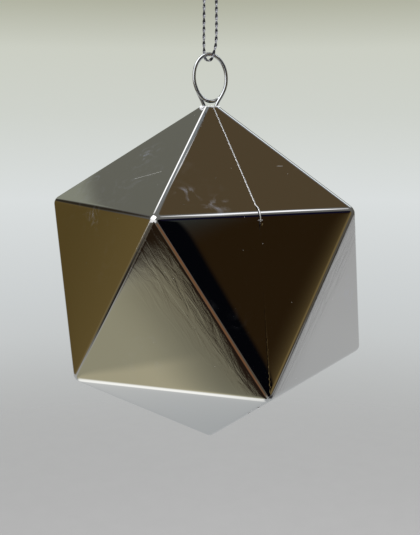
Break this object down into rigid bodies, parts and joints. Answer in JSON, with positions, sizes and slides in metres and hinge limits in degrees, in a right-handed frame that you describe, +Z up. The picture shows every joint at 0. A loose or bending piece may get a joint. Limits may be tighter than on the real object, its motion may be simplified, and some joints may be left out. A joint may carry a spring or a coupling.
{
  "type": "faceted hanging ornament",
  "caption": "Mirror-plated hollow icosahedral ornament with cemented half shells, hung by a wire eye on a loop of twisted cord.",
  "frame": {"origin": "under the crown of the cord loop, where a hook carries the ornament", "axes": "+Z up, +X across the seam to the right half, front towards -Y with one lower belt corner straight ahead"},
  "size_m": [0.0854, 0.0898, 0.1598],
  "materials": {
    "plated_shell": "mirror-bright silver plating on moulded plastic, faintly wavy",
    "plated_seam": "plated-over cement line, slightly rough",
    "hanger_wire": "bright drawn steel wire",
    "cord": "silver metallic yarn, two plies twisted"
  },
  "bodies": {
    "cord": {"cord_loop": "cord", "cord_knot": "cord"},
    "hanger": {"hanger_wire": "hanger_wire"},
    "shell": {"shell_left": "plated_shell", "shell_right": "plated_shell", "seam_bead": "plated_seam"}
  },
  "joints": [
    {"name": "eye_slide", "type": "hinge", "parent": "cord", "child": "hanger", "pos_m": [-0.00028, 0.0001, -0.0427], "axis": [0.3256, 0.9455, 0], "range_deg": [-60, 60]},
    {"name": "body_swivel", "type": "hinge", "parent": "hanger", "child": "shell", "pos_m": [0, 0, -0.05375], "axis": [0, 0, 1], "continuous": true}
  ]
}
